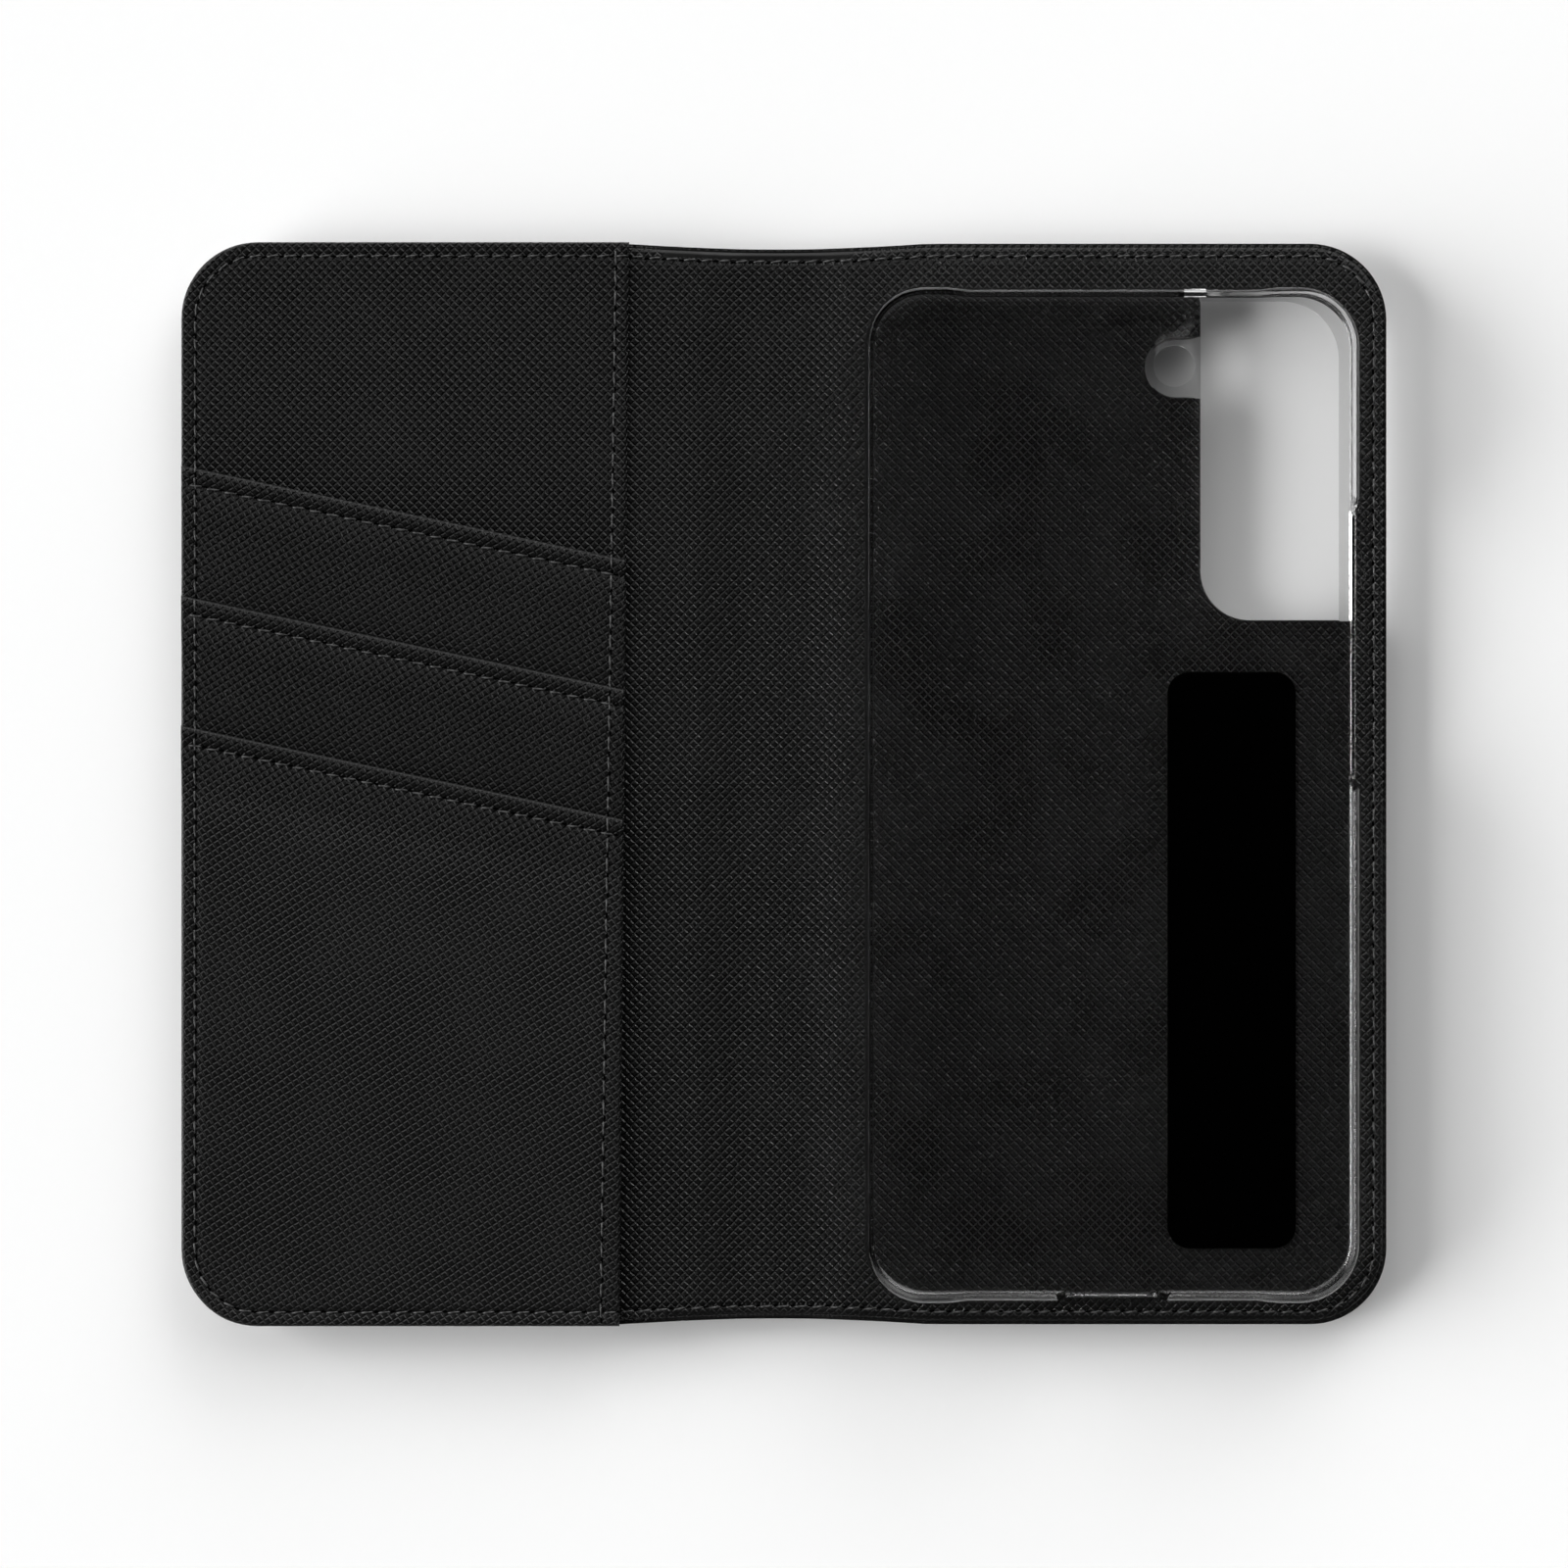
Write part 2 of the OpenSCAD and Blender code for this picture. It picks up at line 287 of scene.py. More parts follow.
def carve_camera_hole(piece):
    """Cuts the tall opening, and then the flash's half slot beside it, through a sheet.

    The slot's two corners are rounded just short of meeting, so that each keeps its own arc.
    """
    left, bottom = camera_left - cut_play, camera_bottom - cut_play
    right, top = tray_high.x - 2 * cut_play, tray_high.y - 2 * cut_play
    opening = block("opening", left, right, bottom, top, cut_low, cut_high,
                    [((left, bottom), camera_r), ((right, top), tray_r - 2 * cut_play)])
    carve(piece, opening)
    left, middle = flash_x + 2 * cut_play - flash_slot_r, flash_y - cut_play
    low, high = middle - flash_slot_r, middle + flash_slot_r
    slot = block("slot", left, camera_left + MM, low, high, cut_low, cut_high,
                 [((left, y), flash_slot_r * 0.999) for y in (low, high)])
    carve(piece, slot)


# A sheet is cut finely where it bends and round its edge, and more widely elsewhere.
bend_steps = np.arange(-7.2, 3.3, 0.8) * MM
fold_lines = np.array([*(back_fold + bend_steps), *(front_fold - bend_steps)])
wide_lines = [x for x in np.arange(-85, 86, 3.4) * MM if np.abs(x - fold_lines).min() > 0.6 * MM]
row_lines = np.arange(-76, 77, 4) * MM
edge_rings = np.array([0.1, 0.25, 0.45, 0.8, 1.25, 1.3, 1.6, 1.82, 2.05, 2.4, 3]) * MM


def case_sheet(name, under, over):
    """A sheet with the outline of the open case, drawn in at the waist."""
    piece = blank(name, skin_low.x, skin_high.x, -skin_high.y, skin_high.y)
    corners = four_corners(Vector((skin_low.x, -skin_high.y)), skin_high)
    round_corners(piece, corners, corner_r)
    add_rings(piece, edge_rings)
    cut_lines(piece, [spine_mid, *fold_lines, *wide_lines])
    cut_lines(piece, row_lines, normal=(0, 1))
    co = points(piece)
    co[:, 1] *= 1 - waist(co[:, 0]) / skin_high.y
    place_points(piece, co)
    thicken(piece, under, over)
    return piece


def split_at_spine(piece, back_name, front_name):
    """Parts a sheet at the middle of the spine into a back half and a front half."""
    only(piece)
    bpy.ops.object.duplicate()
    halves = (piece, bpy.context.object)
    for half, name, side in zip(halves, (back_name, front_name), (-1, 1)):
        half.name = name
        only(half)
        bpy.ops.object.mode_set(mode="EDIT")
        bpy.ops.mesh.select_all(action="SELECT")
        bpy.ops.mesh.bisect(plane_co=(spine_mid, 0, 0), plane_no=(side, 0, 0),
                            clear_outer=True, use_fill=True)
        bpy.ops.object.mode_set(mode="OBJECT")
        face_outwards(half)
    return halves


def bend_at_folds(back_half, front_half):
    """Bakes the place of each half into its mesh."""
    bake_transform(back_half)
    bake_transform(front_half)


def new_material(name):
    """An empty material, with its nodes and its shader."""
    material = bpy.data.materials.new(name)
    material.use_nodes = True
    return material, material.node_tree, material.node_tree.nodes["Principled BSDF"]


def node_group(name, inputs, outputs):
    """A shader group with float sockets, and one vector input to look the pattern up by."""
    tree = bpy.data.node_groups.new(name, "ShaderNodeTree")
    tree.interface.new_socket("Vector", in_out="INPUT", socket_type="NodeSocketVector")
    for label in inputs:
        tree.interface.new_socket(label, in_out="INPUT", socket_type="NodeSocketFloat")
    for label in outputs:
        tree.interface.new_socket(label, in_out="OUTPUT", socket_type="NodeSocketFloat")
    return tree, tree.nodes.new("NodeGroupInput").outputs, tree.nodes.new("NodeGroupOutput").inputs


def calc(tree, operation, *values, clamp=False):
    """A Math node on sockets and numbers."""
    node = tree.nodes.new("ShaderNodeMath")
    node.operation = operation
    node.use_clamp = clamp
    for socket, value in zip(node.inputs, values):
        if isinstance(value, (int, float)):
            socket.default_value = value
        else:
            tree.links.new(value, socket)
    return node.outputs[0]


def noise(tree, vector, size, detail=2.0, rough=0.5):
    """A Noise texture with features of about that size."""
    node = tree.nodes.new("ShaderNodeTexNoise")
    node.inputs["Scale"].default_value = 1 / size
    node.inputs["Detail"].default_value = detail
    node.inputs["Roughness"].default_value = rough
    tree.links.new(vector, node.inputs["Vector"])
    return node.outputs["Fac"]


def remap(tree, value, low, high, to_low=0.0, to_high=1.0):
    """Turns low..high into to_low..to_high with a soft step."""
    node = tree.nodes.new("ShaderNodeMapRange")
    node.interpolation_type = "SMOOTHSTEP"
    for label, number in (("From Min", low), ("From Max", high), ("To Min", to_low), ("To Max", to_high)):
        node.inputs[label].default_value = number
    tree.links.new(value, node.inputs["Value"])
    return node.outputs["Result"]


def mix_colour(tree, factor, dark, light):
    """A colour between dark and light."""
    node = tree.nodes.new("ShaderNodeMix")
    node.data_type = "RGBA"
    colours = [socket for socket in node.inputs if socket.type == "RGBA"]
    colours[0].default_value = (*dark, 1)
    colours[1].default_value = (*light, 1)
    tree.links.new(factor, node.inputs["Factor"])
    return next(socket for socket in node.outputs if socket.type == "RGBA")


def bump(tree, height, distance, shader):
    """Presses a height pattern into a shader's surface: distance is how deep it goes."""
    node = tree.nodes.new("ShaderNodeBump")
    node.inputs["Strength"].default_value = 1.0
    node.inputs["Distance"].default_value = distance
    tree.links.new(height, node.inputs["Height"])
    tree.links.new(node.outputs[0], shader.inputs["Normal"])


# The grain is pressed by a roller: grooves at 45 degrees both ways leave small raised lozenges.
# In some patches one set of grooves is deeper than the other, and the lozenges' tops are crumpled.
grain_pitch = 0.935 * MM


def make_cross_grain():
    """The grain as a group: its height, its raised lozenges, which mark where the grooves get painted
    shade, and broad patches of change.
    """
    tree, given, out = node_group("cross_grain", ["Flatness"], ["Height", "Lozenge", "Patches"])
    vector = given["Vector"]
    split = tree.nodes.new("ShaderNodeSeparateXYZ")
    tree.links.new(vector, split.inputs[0])
    wander = calc(tree, "MULTIPLY", calc(tree, "SUBTRACT", noise(tree, vector, 1.6 * MM, 1.0), 0.5), 0.3)
    patches = noise(tree, vector, 14 * MM)
    grooves = []
    for operation, shallow, deep in (("ADD", 0.88, 1.0), ("SUBTRACT", 1.0, 0.88)):
        across = calc(tree, operation, split.outputs[0], split.outputs[1])
        turns = calc(tree, "ADD", calc(tree, "MULTIPLY", across, math.sqrt(0.5) / grain_pitch), wander)
        from_middle = calc(tree, "ABSOLUTE", calc(tree, "SUBTRACT", calc(tree, "FRACT", turns), 0.5))
        depth = remap(tree, patches, 0.38, 0.62, shallow, deep)
        grooves.append(calc(tree, "MULTIPLY", remap(tree, from_middle, 0.25, 0.47), depth))
    lozenge = calc(tree, "SUBTRACT", 1.0, calc(tree, "MAXIMUM", *grooves), clamp=True)
    crumple = calc(tree, "MULTIPLY", noise(tree, vector, 0.4 * MM, 3.0, 0.6), 0.25)
    kept = calc(tree, "SUBTRACT", 1.0, given["Flatness"], clamp=True)
    tree.links.new(calc(tree, "MULTIPLY", calc(tree, "ADD", lozenge, crumple), kept), out["Height"])
    pressed = calc(tree, "MULTIPLY", given["Flatness"], 2.0, clamp=True)
    # The Lozenge mask is 1 on the raised lozenges and where the grain is pressed flat; the leather paints
    # shade into the grooves outside it.
    tree.links.new(calc(tree, "MAXIMUM", lozenge, pressed), out["Lozenge"])
    tree.links.new(patches, out["Patches"])
    return tree


cross_grain = make_cross_grain()


def leather(name, tone, depth, roughness):
    """Black faux leather: tone is the raised grain's grey, and depth the height of the grain. Its grooves
    are painted near black, as painted shade.
    """
    material, tree, shader = new_material(name)
    laid = tree.nodes.new("ShaderNodeUVMap")
    laid.uv_map = "grain"
    flat = tree.nodes.new("ShaderNodeAttribute")
    flat.attribute_name = "pressed"
    grain = tree.nodes.new("ShaderNodeGroup")
    grain.node_tree = cross_grain
    tree.links.new(laid.outputs[0], grain.inputs["Vector"])
    tree.links.new(flat.outputs["Fac"], grain.inputs["Flatness"])
    # Painted shade: the grooves between the lozenges are painted a tenth of the tone, for the shade that
    # falls in them.
    colour = mix_colour(tree, grain.outputs["Lozenge"], [tone * 0.1] * 3, [tone] * 3)
    tree.links.new(colour, shader.inputs["Base Color"])
    uneven = remap(tree, grain.outputs["Patches"], 0.3, 0.7, -0.03, 0.03)
    glossy_grooves = remap(tree, grain.outputs["Lozenge"], 0.0, 0.6, roughness - 0.06, roughness)
    tree.links.new(calc(tree, "ADD", uneven, glossy_grooves), shader.inputs["Roughness"])
    shader.inputs["Specular IOR Level"].default_value = 0.55
    bump(tree, grain.outputs["Height"], depth, shader)
    return material


def press_flat(piece, pressed):
    """Stores where pressing and sewing have flattened the grain: pressed(x, y, z) is 0 to 1."""
    co = points(piece)
    layer = piece.data.attributes.new("pressed", "FLOAT", "POINT")
    layer.data.foreach_set("value", pressed(*co.T).astype(np.float32))


outer_leather = leather("outer_leather", 0.004, 0.13 * MM, 0.36)
skin = case_sheet("outer_skin_back", skin_under, skin_over)
carve_camera_hole(skin)
lay_grain(skin)
press_flat(skin, lambda x, y, z: 0.7 * smooth(0.6 * MM, 0.2 * MM, edge_distance(x, y)))
skin.data.materials.append(outer_leather)
skin_back, skin_front = split_at_spine(skin, "outer_skin_back", "outer_skin_front")
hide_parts("back_outer_skin", "spine_outer_skin")
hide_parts("front_outer_skin")
bend_at_folds(skin_back, skin_front)

# ---------------------------------------------------------------------------------------------
# Boards
# Stiff grey board, dyed black through, gives the covers their shape. Two boards lie side by side
# in the back cover and one in the front. Only their cut edges show, in the camera hole.


def on_piece(tree):
    """The place on the piece itself, to look a pattern up by."""
    return tree.nodes.new("ShaderNodeTexCoord").outputs["Object"]


def make_board():
    """Pressed paper fibres, dyed black."""
    material, tree, shader = new_material("dyed_board")
    fibres = noise(tree, on_piece(tree), 0.5 * MM, 4.0, 0.7)
    streaks = remap(tree, fibres, 0.3, 0.7)
    shade = mix_colour(tree, streaks, (0.006, 0.006, 0.006), (0.018, 0.017, 0.016))
    tree.links.new(shade, shader.inputs["Base Color"])
    tree.links.new(remap(tree, fibres, 0.3, 0.7, 0.8, 0.95), shader.inputs["Roughness"])
    bump(tree, fibres, 0.05 * MM, shader)
    return material


dyed_board = make_board()
for node in ("back_inner_board", "back_outer_board", "front_board"):
    frame["nodes"][node].data.materials.clear()
    frame["nodes"][node].data.materials.append(dyed_board)

# ---------------------------------------------------------------------------------------------
# Lining
# A second sheet of the same faux leather, in one piece over both covers and the spine. It is
# glued down and sewn round the edge, sinks into the soft spine, and keeps the faint line of the
# gap between the two back boards. It is cut a little smaller than the skin, whose edge shows.
lining_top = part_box("front_lining")[1].z
loose = 0.3 * MM
spine_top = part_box("spine_lining")[1].z + loose
skin_shows = 0.3 * MM
board_joint = (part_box("back_inner_board")[1].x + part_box("back_outer_board")[0].x) / 2
front_fold_crease = -10.9 * MM
seam_groove_w = 0.75 * MM


def sheet_wave(x, y, phase=0.0):
    """A lazy unevenness of hand-laid leather, from 0 to 1."""
    a = np.sin(x / (9.5 * MM) + 1.7 * np.sin(y / (31 * MM) + phase) + phase)
    b = np.sin(y / (13 * MM) + 1.3 * np.sin(x / (23 * MM) - phase) + 2 * phase)
    return 0.5 + 0.25 * (a + b)


def lining_inside(x, y):
    """How far a point lies inside the lining's own edge."""
    return edge_distance(x, y) - skin_shows


def lining_under(x, y):
    """The lining's lower face, on the boards and the skin."""
    return skin_top + on_board(x) * (board_top - skin_top)


def lining_over(x, y):
    """The lining's upper face, with its sag, its creases and the bed of the edge seam."""
    inside = lining_inside(x, y)
    sag = 0.1 * MM * sheet_wave(x, y) * smooth(2 * MM, 9 * MM, inside)
    joint = groove(x, board_joint, 2.2 * MM, 0.05 * MM)
    crease = groove(x, front_fold_crease, 0.9 * MM, 0.07 * MM)
    seam = groove(inside, seam_inset - skin_shows, seam_groove_w, 0.14 * MM)
    thinned = 0.1 * MM * smooth(1.5 * MM, 0.2 * MM, inside)
    flat = spine_top + on_board(x) * (lining_top - spine_top)
    return flat - sag - joint - crease - seam - thinned - rounding(inside, 0.3 * MM)


def lining_pressed(x, y, z):
    """Flat where the edge is pressed and glued hard: at the top by the spine, and at the bottom."""
    inside = lining_inside(x, y)
    margin = smooth(1.45 * MM, 1.2 * MM, inside)
    top = (y > 0) * smooth(-21 * MM, -18 * MM, x) * smooth(16 * MM, 8 * MM, x)
    bottom = (y < 0) * smooth(-20 * MM, -17 * MM, x) * 0.6
    return np.maximum(margin * np.maximum(top, bottom), groove(inside, 1.5 * MM, 0.5 * MM, 0.6))


lining_leather = leather("lining_leather", 0.003, 0.15 * MM, 0.34)
lining = case_sheet("lining_back", lining_under, lining_over)
co = points(lining)
co[:, 0] = case_mid + (co[:, 0] - case_mid) * (1 - skin_shows / (skin_high.x - case_mid))
co[:, 1] *= 1 - skin_shows / skin_high.y
place_points(lining, co)
carve_camera_hole(lining)
lay_grain(lining)
press_flat(lining, lining_pressed)
lining.data.materials.append(lining_leather)
lining_back, lining_front = split_at_spine(lining, "lining_back", "lining_front")
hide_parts("back_lining", "spine_lining")
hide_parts("front_lining")
bend_at_folds(lining_back, lining_front)

# ---------------------------------------------------------------------------------------------
# Bill pocket
# A panel of faux leather over the whole front cover, sewn on three sides. The fourth side, next
# to the spine, is its mouth: a folded edge held down by a hem seam, a little proud of the lining.
panel_low, panel_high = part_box("bill_pocket_panel")
mouth_top_x = panel_high.x
mouth_bottom_x = mouth_top_x - 1.4 * MM
mouth_slope = math.atan2(mouth_top_x - mouth_bottom_x, panel_high.y - panel_low.y)
mouth_normal = (math.cos(mouth_slope), -math.sin(mouth_slope))
mouth_origin = ((mouth_top_x + mouth_bottom_x) / 2, 0)
hem_top, hem_bottom = 1.9 * MM, 2.75 * MM
hem_depth = 0.08 * MM
pocket_proud = skin_low.x - panel_low.x
slot_tilt = math.radians(12)
slot_down = (math.sin(slot_tilt), math.cos(slot_tilt))
slot_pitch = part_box("card_facing_1")[1].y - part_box("card_facing_2")[1].y
slot_starts = [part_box("card_facing_1")[1].y - k * slot_pitch for k in range(3)]


def from_mouth(x, y):
    """How far a point lies left of the pocket's mouth."""
    return -((x - mouth_origin[0]) * mouth_normal[0] + y * mouth_normal[1])


def hem_place(y):
    """Distance of the hem seam from the mouth."""
    return hem_top + (hem_bottom - hem_top) * (0.5 - y / (2 * panel_high.y))


def hem_groove(x, y, depth):
    """The bed of the hem seam, of that depth."""
    return groove(from_mouth(x, y) - hem_place(y), 0, 0.8 * MM, depth)


def pocket_inside(x, y):
    """How far a point lies inside the pocket side's three sewn edges."""
    return edge_distance(x, y) + pocket_proud


def below_slot(k, x, y):
    """How far a point lies below the folded edge of slot k, square to it."""
    return -((x - panel_low.x) * slot_down[0] + (y - slot_starts[k]) * slot_down[1])


def dip_behind(k, x, y):
    """The layer behind slot k sinks towards the slot's folded edge, least at the left end."""
    reach = 0.08 + 0.22 * smooth(0, 26 * MM, x - panel_low.x)
    return reach * MM * smooth(8 * MM, 0.3 * MM, -below_slot(k, x, y))


def panel_over(x, y):
    """The panel's upper face, from its sewn edges to its folded mouth."""
    inside, mouth = pocket_inside(x, y), from_mouth(x, y)
    folded = 0.12 * MM * smooth(3.2 * MM, 0.8 * MM, mouth)
    seam = groove(inside, seam_inset + pocket_proud, seam_groove_w, 0.13 * MM)
    edges = rounding(inside, 0.35 * MM) + rounding(mouth, 0.45 * MM)
    sag = 0.12 * MM * sheet_wave(x, y, 1.0) * smooth(2 * MM, 8 * MM, np.minimum(inside, mouth))
    sunk = hem_groove(x, y, hem_depth) + dip_behind(0, x, y)
    return panel_high.z + folded - seam - edges - sag - sunk


def panel_under(x, y):
    """The panel's lower face, which lifts off the lining at the mouth."""
    return panel_low.z + 0.12 * MM * smooth(2.0 * MM, 0.0, from_mouth(x, y))


mouth_rings = np.array([0.1, 0.25, 0.45, 0.9, 1.4, 1.75, 2.05, 2.35, 2.65, 3, 3.4, 4.2]) * MM
pocket_rings = np.array([0.1, 0.25, 0.45, 0.9, 1.5, 1.8, 2.02, 2.25, 2.55, 3.2]) * MM


def pocket_blank(name, y_low, y_high, round_top):
    """A blank for the pocket side, its left corners rounded and its edge along the mouth cut."""
    piece = blank(name, panel_low.x, panel_high.x + 8 * MM, y_low, y_high)
    round_corners(piece, [(panel_low.x, y_low)], corner_r)
    if round_top:
        round_corners(piece, [(panel_low.x, y_high)], corner_r)
    add_rings(piece, pocket_rings)
    cut_lines(piece, [0], mouth_normal, mouth_origin, trim=True)
    cut_lines(piece, -mouth_rings, mouth_normal, mouth_origin)
    return piece


def finish_pocket(piece, node, pressed, turn=0.0):
    """Gives a leather piece of the pocket side its grain, its material and its place."""
    lay_grain(piece, turn)
    press_flat(piece, pressed)
    piece.data.materials.append(pocket_leather)
    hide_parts(node)
    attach(piece, "front_cover")


def panel_pressed(x, y, z):
    """Half flat in the bed of the hem seam."""
    return 0.35 * hem_groove(x, y, 1.0)


pocket_leather = leather("pocket_leather", 0.003, 0.16 * MM, 0.34)
pocket_columns = np.arange(-84, -27, 3.6) * MM
panel = pocket_blank("bill_pocket", panel_low.y, panel_high.y, True)
cut_lines(panel, pocket_columns)
cut_lines(panel, np.arange(-75, 76, 3.6) * MM, normal=(0, 1))
thicken(panel, panel_under, panel_over)
finish_pocket(panel, "bill_pocket_panel", panel_pressed)

# ---------------------------------------------------------------------------------------------
# Card slots
# Three facings of faux leather lie over the panel like roof tiles, each with a folded edge that
# slopes down towards the spine. The first two end behind the next one, where a thin woven liner
# carries on down to the bottom seam, and the third runs to the bottom edge itself.
slot_overlap = 6 * MM
slot_seam = 2.6 * MM
facing_end = 60 * MM
facing_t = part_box("card_facing_1")[1].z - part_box("card_facing_1")[0].z


def facing_top(k, x, y):
    """The upper face of facing k, from its thick folded edge down to where the next one covers it."""
    inside, mouth, below = pocket_inside(x, y), from_mouth(x, y), below_slot(k, x, y)
    folded = 0.25 * MM * smooth(2.6 * MM, 1.2 * MM, below)
    tucked = 0.22 * MM * smooth(slot_overlap, slot_overlap + 3 * MM, below)
    if k < 2:
        tucked = np.maximum(tucked, 0.9 * dip_behind(k + 1, x, y))
    seam = groove(inside, seam_inset + pocket_proud, seam_groove_w, 0.13 * MM)
    seam = seam + groove(below, slot_seam * math.cos(slot_tilt), 0.8 * MM, 0.15 * MM)
    edges = rounding(inside, 0.3 * MM) + rounding(mouth, 0.4 * MM) + rounding(below, 0.4 * MM)
    sag = 0.1 * MM * sheet_wave(x, y, 2.0 + k) * smooth(2 * MM, 7 * MM, np.minimum(inside, mouth))
    flat = panel_high.z + 0.1 * MM + (k + 1) * facing_t
    return flat + folded - tucked - seam - edges - hem_groove(x, y, hem_depth) - sag


slot_rings = np.array([0.1, 0.22, 0.4, 0.8, 1.3, 1.8, 2.15, 2.54, 2.9, 3.3, 4.2, 6, 7.5, 9]) * MM


def make_facing(k):
    """Facing k, cut along its own slot and a little way behind the next one."""
    floor_z = panel_high.z + 0.04 * MM + k * facing_t
    drape = 0.22 * MM if k else 0.0
    piece = pocket_blank(f"card_facing_{k + 1}_leather", panel_low.y, facing_end, False)
    start = (panel_low.x, slot_starts[k])
    cut_lines(piece, [0], slot_down, start, trim=True)
    cut_lines(piece, -slot_rings, slot_down, start)
    if k < 2:
        end = (panel_low.x, slot_starts[k + 1] - slot_overlap)
        cut_lines(piece, [0], (-slot_down[0], -slot_down[1]), end, trim=True)
    else:
        cut_lines(piece, np.arange(-75, -2, 3.6) * MM, normal=(0, 1))
    cut_lines(piece, pocket_columns)

    def under(x, y):
        return floor_z - drape * smooth(slot_overlap - MM, slot_overlap + 2 * MM, below_slot(k, x, y))

    thicken(piece, under, lambda x, y: facing_top(k, x, y))
    co = points(piece)
    drift = 0.2 * MM * smooth(3 * MM, 16 * MM, below_slot(k, co[:, 0], co[:, 1]))
    co[:, 0] += drift * smooth(6 * MM, 0, co[:, 0] - panel_low.x)
    place_points(piece, co)
    return piece


def facing_pressed(k):
    """Flat on the folded edge and in the hem, and worn over the third facing's open face."""
    def pressed(x, y, z):
        beside_edge = smooth(0.5 * MM, 0.2 * MM, below_slot(k, x, y)) * 0.8
        worn = 0.55 * smooth(2 * MM, 14 * MM, below_slot(k, x, y)) * (k == 2)
        return np.maximum(np.maximum(beside_edge, worn), 0.35 * hem_groove(x, y, 1.0))
    return pressed


for k in range(3):
    facing = make_facing(k)
    finish_pocket(facing, f"card_facing_{k + 1}", facing_pressed(k), turn=-slot_tilt)


def make_liner_fabric():
    """Thin black woven liner: two sets of threads, over and under."""
    material, tree, shader = new_material("liner_fabric")
    place = on_piece(tree)
    weave = []
    for direction in ("X", "Y"):
        wave = tree.nodes.new("ShaderNodeTexWave")
        wave.bands_direction = direction
        wave.inputs["Scale"].default_value = 1 / (2.2 * MM)
        wave.inputs["Distortion"].default_value = 0.4
        tree.links.new(place, wave.inputs["Vector"])
        weave.append(wave.outputs["Fac"])
    threads = calc(tree, "MULTIPLY", *weave)
    shade = mix_colour(tree, threads, (0.006, 0.006, 0.007), (0.022, 0.022, 0.024))
    tree.links.new(shade, shader.inputs["Base Color"])
    tree.links.new(remap(tree, threads, 0, 1, 0.9, 0.7), shader.inputs["Roughness"])
    bump(tree, threads, 0.06 * MM, shader)
    return material


liner_fabric = make_liner_fabric()
liner_t = 0.12 * MM
for k in range(2):
    liner_z = panel_high.z + 0.06 * MM + k * facing_t
    liner = pocket_blank(f"card_liner_{k + 1}_fabric", panel_low.y, facing_end, False)
    join = (panel_low.x, slot_starts[k + 1] - slot_overlap - 0.1 * MM)
    cut_lines(liner, [0], slot_down, join, trim=True)
    cut_lines(liner, np.arange(-72, 10, 9) * MM, normal=(0, 1))
    co = points(liner)
    co[:, 0] += 0.5 * MM * smooth(6 * MM, 0, co[:, 0] - panel_low.x)
    place_points(liner, co)
    thicken(liner, lambda x, y: liner_z + 0 * x, lambda x, y: liner_z + liner_t + 0 * x)
    liner.data.materials.append(liner_fabric)
    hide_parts(f"card_liner_{k + 1}")
    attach(liner, "front_cover")

# ---------------------------------------------------------------------------------------------
# Sewing
# Black polyester thread in a lockstitch: each stitch lies on top, a little askew, and dives at
# both ends into a needle hole. One stitch is modelled, then copied along every seam.
# Each needle hole is a flat black bead level with the leather: painted shade.
thread_r = 0.15 * MM
hole_half = np.array([0.42, 0.17, 0.09]) * MM
edge_pitch, slot_stitch_pitch, hem_pitch = 2.55 * MM, 2.61 * MM, 2.96 * MM


def make_thread():
    """Twisted black thread with a slight shine."""
    material, tree, shader = new_material("sewing_thread")
    twist = tree.nodes.new("ShaderNodeTexWave")
    twist.bands_direction = "DIAGONAL"
    twist.inputs["Scale"].default_value = 1 / (2 * MM)
    tree.links.new(on_piece(tree), twist.inputs["Vector"])
    shade = mix_colour(tree, twist.outputs["Fac"], (0.02, 0.02, 0.02), (0.06, 0.06, 0.06))
    tree.links.new(shade, shader.inputs["Base Color"])
    tree.links.new(remap(tree, twist.outputs["Fac"], 0, 1, 0.42, 0.3), shader.inputs["Roughness"])
    bump(tree, twist.outputs["Fac"], 0.04 * MM, shader)
    return material


def one_stitch():
    """A single stitch along X, one unit long, as rings of a bowed cylinder closed at its ends."""
    bpy.ops.object.select_all(action="DESELECT")
    bpy.ops.mesh.primitive_cylinder_add(vertices=7, radius=1, depth=1, rotation=(0, math.pi / 2, 0))
    stitch = bpy.context.object
    bpy.ops.object.transform_apply(location=True, rotation=True, scale=True)
    only(stitch)
    bpy.ops.object.mode_set(mode="EDIT")
    for x in np.linspace(-0.5, 0.5, 8)[1:-1]:
        bpy.ops.mesh.select_all(action="SELECT")
        bpy.ops.mesh.bisect(plane_co=(x, 0, 0), plane_no=(1, 0, 0))
    bpy.ops.object.mode_set(mode="OBJECT")
    face_outwards(stitch, 60)
    stitch.data.materials.append(make_thread())
    return stitch


def one_needle_hole():
    """A flattened black bead level with the leather at a needle hole: painted shade for the hole's dark
    mouth.
    """
    material, _, shader = new_material("needle_hole")
    # Painted shade: pure black and without shine, for the shade inside the needle hole.
    shader.inputs["Base Color"].default_value = (0.0006, 0.0006, 0.0006, 1)
    shader.inputs["Roughness"].default_value = 1.0
    shader.inputs["Specular IOR Level"].default_value = 0.0
    bpy.ops.object.select_all(action="DESELECT")
    bpy.ops.mesh.primitive_uv_sphere_add(segments=10, ring_count=6, radius=1)
    hole = bpy.context.object
    hole.data.materials.append(material)
    return hole


